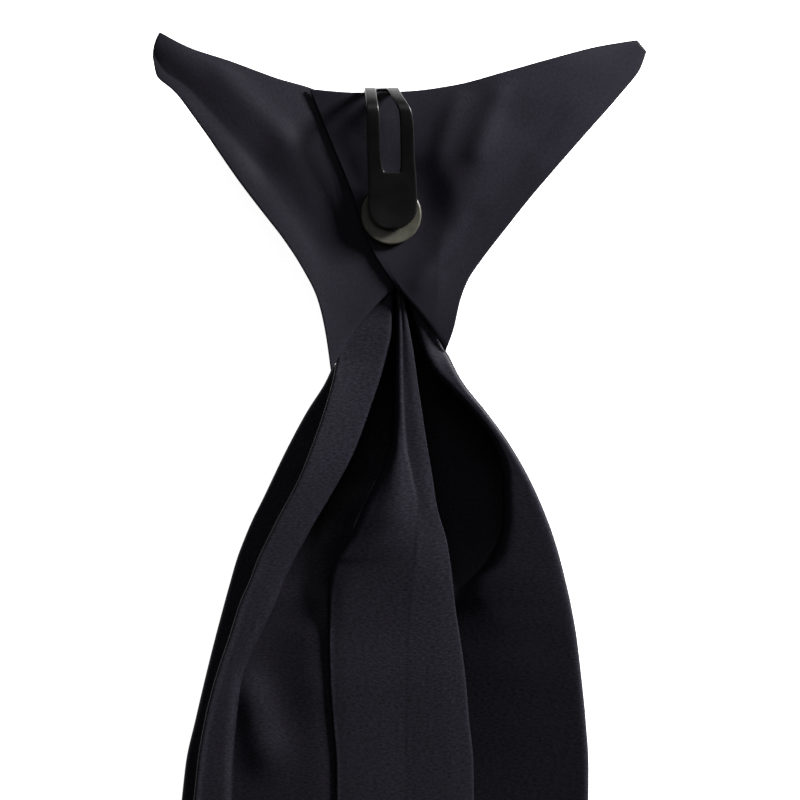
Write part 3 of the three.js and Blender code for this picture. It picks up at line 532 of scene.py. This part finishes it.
# The right side in the same way, from the outline over the rolled rim to the seam.
bladeRight = tableOf("y right sideRight outerTop rim rimTop rimFoot rimReach floorRight seamRight", [
    (30, 7.5, 4.8, 9.6, 4.0, 10.0, 4.4, 1.4, 5.4, 1.9),
    (14, 7.6, 5.0, 11.6, 2.0, 13.6, 2.4, 1.4, 5.4, 1.4),
    (10.5, 7.8, 5.0, 12.2, 2.9, 13.6, 3.3, 1.2, 5.3, 2.0),
    (7, 7.6, 5.0, 12.3, 3.9, 13.3, 4.3, 1.2, 5.2, 2.4),
    (4.6, 8.2, 4.9, 12.2, 4.6, 13.1, 5.0, 1.2, 5.0, 2.8),
    (3.0, 9.2, 4.9, 12.2, 5.2, 13.1, 5.6, 1.2, 5.0, 3.2),
    (1.4, 10.2, 4.9, 12.7, 5.9, 13.5, 6.3, 1.2, 4.8, 3.5),
    (-1.0, 11.3, 4.7, 13.0, 7.0, 13.5, 7.4, 1.4, 4.4, 3.9),
    (-4.2, 13.2, 4.6, 12.8, 9.8, 13.0, 10.2, 1.6, 4.0, 4.0),
    (-9.4, 17.4, 4.2, 12.4, 14.8, 12.2, 15.3, 1.6, 2.8, 4.0),
    (-16, 22.2, 4.0, 12.1, 19.6, 11.8, 20.1, 1.6, 2.3, 4.0),
    (-24, 26.8, 3.8, 11.4, 21.7, 11.0, 22.1, 1.6, 2.0, 4.0),
    (-32, 30.3, 3.6, 10.7, 21.8, 10.0, 22.1, 1.8, 2.0, 4.0),
    (-36, 31.7, 3.4, 10.5, 21.0, 9.4, 21.0, 2.0, 2.1, 4.0),
    (-39, 32.6, 3.3, 10.4, 20.0, 8.9, 19.6, 2.4, 2.3, 4.0),
    (-42, 33.4, 3.2, 10.3, 18.3, 8.4, 17.4, 2.8, 2.6, 4.0),
    (-45, 34.1, 3.1, 10.3, 15.9, 7.6, 14.4, 3.2, 3.0, 4.0),
    (-47.5, 34.7, 3.1, 10.35, 15.0, 7.0, 12.0, 4.4, 3.4, 4.0),
    (-50, 35.2, 3.0, 10.4, 16.2, 6.8, 10.4, 6.4, 3.7, 4.0),
    (-55, 36.1, 2.9, 10.5, 18.6, 6.8, 9.6, 9, 4.0, 4.0),
    (-64, 37.2, 2.8, 10.4, 22.0, 7.2, 10.4, 11, 3.9, 4.0),
    (-73, 38.1, 2.7, 10.1, 24.0, 7.2, 11.2, 12, 3.8, 4.0),
    (-82.6, 38.7, 2.6, 9.6, 25.0, 7.0, 11.8, 12, 3.7, 4.0),
    (-120, 38.2, 2.4, 5.9, 27, 5.7, 12, 8, 3.5, 3.8),
    (-240, 38.2, 2.3, 4.1, 28, 4.1, 12, 8, 3.3, 2.8),
    (-345, 38.4, 2.3, 3.8, 26, 3.9, 12, 8, 3.2, 2.2),
])
# Wrinkles of the cloth at the left, beside the pleat.
bladeFolds = tableOf("fromX fromY toX toY width rise", [
    (-30.0, -69.5, -28.2, -77.5, 4.0, 1.5),
])


def bladeGrid():
    start = bladeLook["pointStart"]
    y = stationsBetween(bladeLook["marks"] + [start], bladeLook["steps"])
    row = dict(tableAt(bladeLeft, "y", y), **tableAt(bladeRight, "y", y))
    # Below pointStart every place across narrows towards the tip.
    share = np.array(bladeLook["pointShares"])
    middle = (row["left"][-1] + row["right"][-1]) / 2
    half = (row["right"][-1] - row["left"][-1]) / 2
    scale = 1 - share * (1 - bladeLook["tipHalf"] / half)
    narrowed = "left right pleatLeft pleatRight creaseX mound moundFoot seam seamRight rim rimFoot".split()
    for name in row:
        last = row[name][-1]
        if name in narrowed:
            tail = middle + (last - middle) * scale
        elif name == "rimReach":
            tail = last * scale
        else:
            tail = np.full(len(share), last)
        row[name] = np.concatenate([row[name], tail])
    y = np.concatenate([y, start + (bladeLook["tip"] - start) * share])
    line = roundedLine([
        (row["seam"], row["floorRight"], 0, 1),
        (row["moundFoot"], row["floor"], 3.0, 3),
        (row["mound"], row["moundTop"], 2.0, 6),
        (row["creaseX"], row["creaseZ"], 0.6, 5),
        (row["pleatRight"], row["pleatEdge"], row["pleatRound"][:, None], 3),
        (row["pleatLeft"] + bladeLook["lipWide"], row["pleatTop"] - row["lip"], 0.5, 8),
        (row["pleatLeft"], row["pleatTop"], 0.25, 4),
        (row["pleatLeft"] + bladeLook["undercut"], row["ledge"], 1.0, 4),
        (row["left"], row["side"], 1.2, 3),
        (row["left"] + bladeLook["frontInset"], row["front"], 1.0, 1),
        (row["right"] - bladeLook["frontInset"], row["front"], 1.0, 8),
        (row["right"], row["sideRight"], 1.6, 1),
        (row["right"] - bladeLook["rightInset"], row["outerTop"], 0.7, 2),
        (row["rim"], row["rimTop"], row["rimReach"][:, None], 6),
        (row["rimFoot"], row["floorRight"], 1.1, 6),
        (row["seamRight"], row["floorRight"], 0, 3),
    ], 3)
    x = line[..., 0]
    down = np.broadcast_to(y[:, None], x.shape)
    z = line[..., 1].copy()
    inner = slice(0, bladeLook["wrinkledPoints"])
    z[:, inner] += foldRise(bladeFolds, x[:, inner], down[:, inner])
    return np.stack([x, down, z], axis=-1)


clothPiece("tieBlade", bladeGrid(), bladeLook, bladeSatin, "blade")

# Middle strip

stripLook = {
    "wall": 0.45,
    "marks": [16, -46, -90, -343],
    "steps": [0.9, 1.6, 8.0],
    "grooveWide": 0.5,
    "ridgeRise": 0.15,
    "hemTop": -40,  # the pressed left fold stands up as a thin roll below here
    "hemDip": 0.35,
    "hemWide": 0.8,
    "hemFade": 4.0,
    "cut": {"wide": 29, "long": 361, "area": 9650},
}
# Each row is a section of the strip: its left wall from foot to left, its rounded face, the crease with the
# groove beside it, and its right edge. The names with Top are heights.
strip = tableOf("y foot footTop left leftTop leftRound mid midTop crease creaseTop groove right rightTop", [
    (16, -0.8, 6.0, -0.6, 11.8, 0.3, -0.4, 12.6, -0.2, 12.8, 0.2, 0.6, 12.8),
    (10.5, -0.6, 5.5, -0.3, 12.0, 0.3, -0.1, 13.1, 0.1, 13.5, 0.2, 1.5, 13.5),
    (3, -0.8, 4.4, -0.4, 12.0, 0.4, -0.2, 13.3, 0.2, 13.7, 0.25, 2.9, 13.5),
    (-2.7, -1.0, 4.1, -0.6, 11.8, 0.5, -0.3, 13.4, 0.3, 13.7, 0.3, 3.7, 13.3),
    (-9.4, -1.3, 3.0, -0.9, 11.6, 0.6, -0.3, 13.4, 0.5, 13.7, 0.4, 4.7, 13.0),
    (-16, -1.6, 2.7, -1.4, 11.6, 0.8, -0.4, 13.6, 0.9, 13.4, 0.5, 5.7, 12.4),
    (-22, -3.6, 2.7, -3.8, 11.8, 1.6, -0.9, 13.8, 2.0, 12.8, 0.4, 6.7, 11.6),
    (-29.5, -7.2, 2.85, -7.4, 11.8, 1.8, -1.4, 13.7, 3.4, 11.9, 0.2, 7.9, 10.8),
    (-36, -10.1, 3.2, -10.4, 11.2, 1.6, -4.2, 12.7, 3.2, 11.3, 0, 9.8, 9.6),
    (-41.4, -13.3, 5.3, -13.6, 10.6, 1.4, -9.0, 11.4, 2.8, 10.6, 0, 10.7, 8.9),
    (-44, -14.2, 6.6, -14.0, 10.4, 1.0, -11, 11.0, 2.4, 10.2, 0, 11.0, 8.6),
    (-49.6, -14.5, 8.2, -14.2, 10.0, 0.5, -12, 10.4, 2.0, 9.3, 0, 11.6, 7.9),
    (-56, -14.3, 9.35, -14.2, 9.7, 0.5, -12, 9.8, 1.6, 8.6, 0, 12.6, 7.4),
    (-64, -14.2, 9.1, -14.0, 9.4, 0.5, -12, 9.5, 1.4, 8.1, 0, 13.7, 6.9),
    (-73, -13.6, 8.4, -13.4, 8.7, 0.5, -11.5, 8.8, 1.2, 7.3, 0, 14.5, 6.4),
    (-82.6, -12.9, 7.8, -12.7, 8.1, 0.5, -11, 8.1, 1.2, 6.7, 0, 15.4, 6.1),
    (-120, -12.8, 5.5, -12.6, 5.8, 0.4, -11, 5.9, 1.2, 5.7, 0, 15.6, 5.6),
    (-240, -13.6, 4.7, -13.4, 4.9, 0.4, -12, 5.1, 0.6, 5.1, 0, 14.6, 5.0),
    (-343, -14.2, 4.6, -14.0, 4.8, 0.4, -12.5, 4.9, 0.0, 4.9, 0, 14.0, 4.9),
])


def hemDip(inside):
    # Just inside a pressed fold the cloth dips, and comes back slowly.
    inside = np.maximum(inside, 0)
    fade, start = np.exp(-inside / stripLook["hemFade"]), np.exp(-inside / stripLook["hemWide"])
    return -stripLook["hemDip"] * (fade - start)


def stripGrid():
    y = stationsBetween(stripLook["marks"], stripLook["steps"])
    row = tableAt(strip, "y", y)
    grooveX, grooveTop = row["crease"] + stripLook["grooveWide"], row["creaseTop"] - row["groove"]
    # The ridge runs two thirds of the way from the crease to the right edge.
    ridgeX = (row["crease"] + 2 * row["right"]) / 3
    ridgeTop = (row["creaseTop"] + 2 * row["rightTop"]) / 3 + stripLook["ridgeRise"]
    line = roundedLine([
        (row["foot"], row["footTop"], 0, 3),
        (row["left"], row["leftTop"], row["leftRound"][:, None], 4),
        (row["mid"], row["midTop"], 5.0, 5),
        (row["crease"], row["creaseTop"], 0.4, 6),
        (grooveX, grooveTop, 0.4, 1),
        (ridgeX, ridgeTop, 0.9, 4),
        (row["right"], row["rightTop"], 0, 3),
    ], 4)
    x = line[..., 0]
    hemmed = (y < stripLook["hemTop"])[:, None]
    z = line[..., 1] + hemDip(x - row["left"][:, None]) * hemmed
    return np.stack([x, np.broadcast_to(y[:, None], x.shape), z], axis=-1)


clothPiece("backStrip", stripGrid(), stripLook, bladeSatin, "back_pleat")

# Clip and disc

def tiePlace(point):
    # A point of the scene as a place on the tie, in mm.
    return (point - tieOrigin) / millimetre


def pick(piece, kind, test):
    # Goes to edit mode with only the vertices or faces that pass the test selected.
    bpy.ops.object.mode_set(mode="EDIT")
    bpy.ops.mesh.select_mode(type=kind)
    bpy.ops.mesh.select_all(action="DESELECT")
    bpy.ops.object.mode_set(mode="OBJECT")
    for element in piece.data.vertices if kind == "VERT" else piece.data.polygons:
        element.select = bool(test(element))
    bpy.ops.object.mode_set(mode="EDIT")


def applyModifier(piece, kind, **settings):
    modifier = piece.modifiers.new(kind.lower(), kind)
    for name, value in settings.items():
        setattr(modifier, name, value)
    bpy.ops.object.modifier_apply(modifier=modifier.name)


clipLook = {
    "thickness": 0.8,
    "edgeRound": 0.36,
    "firstStrip": 2.0,
    "columns": 4,
    "slotTop": 57.2,
    "slotBottom": 39.5,
    "slotLow": 12.5,
    "slotReach": 1.4,  # faces whose middle lies this near the slot's middle are cut out
}
# The steel strip from its leg inside the knot, over the roof, to the tip of the tongue.
clipLine = tableOf("y z middle width slot", [
    (36.0, 8.6, -3.6, 7.2, 2.2),
    (46.0, 9.2, -3.6, 7.2, 2.2),
    (54.8, 9.8, -3.6, 7.2, 2.2),
    (56.0, 10.6, -3.6, 7.2, 2.2),
    (56.45, 12.6, -3.6, 7.1, 2.2),
    (56.45, 15.4, -3.6, 7.1, 2.4),
    (56.25, 16.9, -3.5, 7.1, 2.4),
    (55.2, 18.7, -3.2, 7.4, 2.7),
    (53.6, 20.3, -2.6, 8.3, 3.4),
    (52.6, 20.9, -2.2, 8.9, 3.9),
    (51.4, 21.0, -1.9, 9.5, 4.0),
    (47.5, 20.1, -1.75, 9.8, 4.0),
    (43.5, 19.1, -1.7, 9.8, 4.0),
    (41.2, 18.6, -1.6, 9.8, 3.9),
    (39.5, 18.2, -1.45, 9.9, 3.2),
    (37.4, 17.8, -1.35, 10.0, 3.0),
    (34.4, 17.4, -1.3, 10.1, 3.0),
    (31.6, 17.15, -1.3, 10.1, 3.0),
    (30.2, 17.1, -1.3, 9.2, 2.8),
    (29.1, 17.1, -1.3, 7.5, 2.3),
    (28.2, 17.1, -1.3, 5.0, 1.6),
    (27.7, 17.1, -1.3, 2.4, 0.8),
])


def clipPlace(row):
    return tieOrigin + Vector((row["middle"], row["y"], row["z"])) * millimetre


def betweenEdges(vertex, row, margin=0.1):
    # The strip's inner points, clear of its middle line and its two edges.
    return margin < abs(tiePlace(vertex.co).x - row["middle"]) < row["width"] / 2 - margin


def onRow(vertex, row, near=0.02):
    place = tiePlace(vertex.co)
    return abs(place.y - row["y"]) < near and abs(place.z - row["z"]) < near


def pullStrip(clip, rows):
    # The front edge of the first strip is pulled along the line of the clip.
    first = rows[0]
    pick(clip, "VERT", lambda vertex: tiePlace(vertex.co).y > first["y"])
    last = dict(first, y=first["y"] + clipLook["firstStrip"] / 2)
    for row in rows[1:]:
        moved = (row["middle"] - last["middle"], row["y"] - last["y"], row["z"] - last["z"])
        step = Vector(moved) * millimetre
        bpy.ops.mesh.extrude_region_move(TRANSFORM_OT_translate={"value": step})
        grow = row["width"] / last["width"]
        bpy.ops.transform.resize(value=(grow, 1, 1), center_override=clipPlace(row))
        last = row


def widenSlot(clip, rows):
    # Each row of the slot gets its own width: the two inner lines are pushed apart about the middle.
    for row in rows[1:]:
        pick(clip, "VERT", lambda vertex: onRow(vertex, row) and betweenEdges(vertex, row))
        bpy.ops.object.mode_set(mode="OBJECT")
        aside = [tiePlace(vertex.co).x - row["middle"] for vertex in clip.data.vertices if vertex.select]
        widen = row["slot"] / 2 / max(abs(x) for x in aside)
        bpy.ops.object.mode_set(mode="EDIT")
        bpy.ops.transform.resize(value=(widen, 1, 1), center_override=clipPlace(row))


def cutSlot(clip, rows):
    # The slot is cut out of the roof and the upper tongue.
    def inSlot(face):
        place = tiePlace(face.center)
        nearest = min(rows, key=lambda row: math.hypot(row["y"] - place.y, row["z"] - place.z))
        slotted = clipLook["slotBottom"] < place.y < clipLook["slotTop"] and place.z > clipLook["slotLow"]
        return slotted and abs(place.x - nearest["middle"]) < clipLook["slotReach"]

    pick(clip, "FACE", inSlot)
    bpy.ops.mesh.delete(type="FACE")


def springClip(material):
    rows = [{name: clipLine[name][i] for name in clipLine} for i in range(len(clipLine["y"]))]
    first = rows[0]
    bpy.ops.object.select_all(action="DESELECT")
    bpy.ops.mesh.primitive_grid_add(x_subdivisions=clipLook["columns"], y_subdivisions=1, size=1,
                                    location=clipPlace(first))
    clip = bpy.context.object
    clip.name = "springClip"
    clip.data.name = "springClip"
    # The grid is drawn in to a first short strip, and its inner lines to the width of the slot.
    clip.scale = (first["width"] * millimetre, clipLook["firstStrip"] * millimetre, 1)
    bpy.ops.object.transform_apply(location=True, rotation=False, scale=True)
    slotShare = first["slot"] / (first["width"] / 2)
    pick(clip, "VERT", lambda vertex: betweenEdges(vertex, first))
    bpy.ops.transform.resize(value=(slotShare, 1, 1), center_override=clipPlace(first))
    pullStrip(clip, rows)
    widenSlot(clip, rows)
    cutSlot(clip, rows)
    bpy.ops.mesh.select_all(action="SELECT")
    bpy.ops.mesh.normals_make_consistent(inside=False)
    bpy.ops.object.mode_set(mode="OBJECT")
    applyModifier(clip, "SOLIDIFY", thickness=clipLook["thickness"] * millimetre, offset=0)
    applyModifier(clip, "BEVEL", width=clipLook["edgeRound"] * millimetre, segments=3, limit_method="ANGLE",
                  angle_limit=math.radians(50))
    applyModifier(clip, "SUBSURF", levels=2, render_levels=2)
    clip.data.materials.append(material)
    bpy.ops.object.shade_smooth()
    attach(clip, "root")
    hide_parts("collar_clip")
    print("clip", len(clip.data.polygons), "faces")


discLook = {
    "radius": 6.2,
    "thickness": 1.2,
    "rim": 1.0,
    "dish": 0.2,
    "edgeRound": 0.45,
}


def gripDisc(material):
    bpy.ops.object.select_all(action="DESELECT")
    centre = (discLow + discHigh) / 2
    centre.z = (discUnder + discLook["thickness"] / 2) * millimetre
    bpy.ops.mesh.primitive_cylinder_add(vertices=96, radius=discLook["radius"] * millimetre,
                                        depth=discLook["thickness"] * millimetre, location=centre)
    disc = bpy.context.object
    disc.name = "gripDisc"
    disc.data.name = "gripDisc"
    bpy.ops.object.transform_apply(location=True)
    # The top is let down inside its rim, into a shallow dish.
    pick(disc, "FACE", lambda face: face.normal.z > 0.9)
    bpy.ops.mesh.inset(thickness=discLook["rim"] * millimetre)
    bpy.ops.transform.translate(value=(0, 0, -discLook["dish"] * millimetre))
    bpy.ops.object.mode_set(mode="OBJECT")
    applyModifier(disc, "BEVEL", width=discLook["edgeRound"] * millimetre, segments=4, limit_method="ANGLE",
                  angle_limit=math.radians(25))
    disc.data.materials.append(material)
    bpy.ops.object.shade_smooth_by_angle(angle=math.radians(40))
    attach(disc, "root")
    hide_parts("grip_disc")
    print("disc", len(disc.data.polygons), "faces")


springClip(blackCoatedSteel())
gripDisc(oliveDisc())

# Studio

studio = {
    "pixelSize": 0.205,       # mm of the tie for one pixel of the photograph
    "neckPixelX": 399,        # the neck in the photograph
    "neckPixelY": 365,
    "frame": 800,
    "distance": 1.5,
    "measuredHeight": 12.0,   # the height on the tie at which the pixel size holds
    "sensor": 36.0,
    "floorSize": 6.0,
    "floorGap": 0.05,         # the floor lies a hair below the tie
    "floorLight": "#f7f7f7",
    "floorDark": "#f4f4f4",
    "floorMottle": 250.0,
    "floorGlow": 0.95,
    "wallGlow": 0.04,         # what the studio's walls give the tie
    "wallSeen": 1.0,          # how pale the camera sees them
}


def addFloor():
    bpy.ops.object.select_all(action="DESELECT")
    bpy.ops.mesh.primitive_plane_add(size=studio["floorSize"],
                                     location=(0, 0, -studio["floorGap"] * millimetre))
    floor = bpy.context.object
    floor.name = "paleFloor"
    bpy.ops.object.transform_apply(location=True)
    material, tree, output = newMaterial("paleStudioFloor")
    place = addNode(tree, "ShaderNodeTexCoord")
    mottle = addNode(tree, "ShaderNodeTexNoise", {"Scale": 1 / (studio["floorMottle"] * millimetre)},
                     {"Vector": place.outputs["Object"]})
    tint = colourRamp(tree, mottle.outputs["Fac"],
                      [(0, linear(studio["floorDark"])), (1, linear(studio["floorLight"]))])
    shader = addNode(tree, "ShaderNodeBsdfPrincipled", {
        "Roughness": 0.9,
        "Specular IOR Level": 0.1,
        "Emission Color": linear("#ffffff"),
        "Emission Strength": studio["floorGlow"],
    }, {"Base Color": tint.outputs["Color"]})
    tree.links.new(shader.outputs["BSDF"], output.inputs["Surface"])
    floor.data.materials.append(material)


def addLight(name, azimuth, elevation, distance, size, watts, along=0.0, spread=180):
    # azimuth 0 shines from the top of the photograph, 90 from its right.
    # along is how far up the tie from its neck the light is aimed, in mm.
    a, e = math.radians(azimuth), math.radians(elevation)
    centre = tieOrigin + Vector((0, along * millimetre, 0))
    offset = Vector((math.sin(a) * math.cos(e), math.cos(a) * math.cos(e), math.sin(e))) * distance
    light = bpy.data.lights.new(name, "AREA")
    light.shape = "SQUARE"
    light.size = size
    light.energy = watts
    light.spread = math.radians(spread)
    lamp = bpy.data.objects.new(name, light)
    bpy.context.scene.collection.objects.link(lamp)
    lamp.location = centre + offset
    lamp.rotation_euler = (-offset).to_track_quat("-Z", "Y").to_euler()


def addWorld():
    # The studio's walls give little light, and the camera sees them as pale as the floor.
    world = bpy.data.worlds.new("paleStudio")
    world.use_nodes = True
    tree = world.node_tree
    background = tree.nodes["Background"]
    background.inputs["Color"].default_value = linear("#ffffff")
    rays = addNode(tree, "ShaderNodeLightPath")
    wallLight = addNode(tree, "ShaderNodeMapRange", {
        "To Min": studio["wallGlow"],
        "To Max": studio["wallSeen"],
    }, {"Value": rays.outputs["Is Camera Ray"]})
    tree.links.new(wallLight.outputs["Result"], background.inputs["Strength"])
    bpy.context.scene.world = world


def addCamera():
    half = studio["frame"] / 2
    x = (half - studio["neckPixelX"]) * studio["pixelSize"] * millimetre
    y = (studio["neckPixelY"] - half) * studio["pixelSize"] * millimetre
    width = studio["frame"] * studio["pixelSize"] * millimetre
    camera = bpy.data.cameras.new("photoCamera")
    camera.sensor_width = studio["sensor"]
    camera.lens = studio["sensor"] * studio["distance"] / width
    camera.clip_start = 0.01
    eye = bpy.data.objects.new("photoCamera", camera)
    bpy.context.scene.collection.objects.link(eye)
    eye.location = tieOrigin + Vector((x, y, studio["distance"] + studio["measuredHeight"] * millimetre))
    bpy.context.scene.camera = eye


addFloor()
addLight("keySoftbox", azimuth=54, elevation=20, distance=0.42, size=0.09, watts=7.0)
addLight("overheadFill", azimuth=0, elevation=55, distance=1.4, size=1.0, watts=3.0)
# A narrow beam lights the point of the tie, outside the photograph's frame.
addLight("pointSoftbox", azimuth=60, elevation=40, distance=0.5, size=0.1, watts=1.3, along=-300, spread=40)
addWorld()
addCamera()
bpy.context.scene.view_settings.view_transform = "Standard"
print("studio ready")
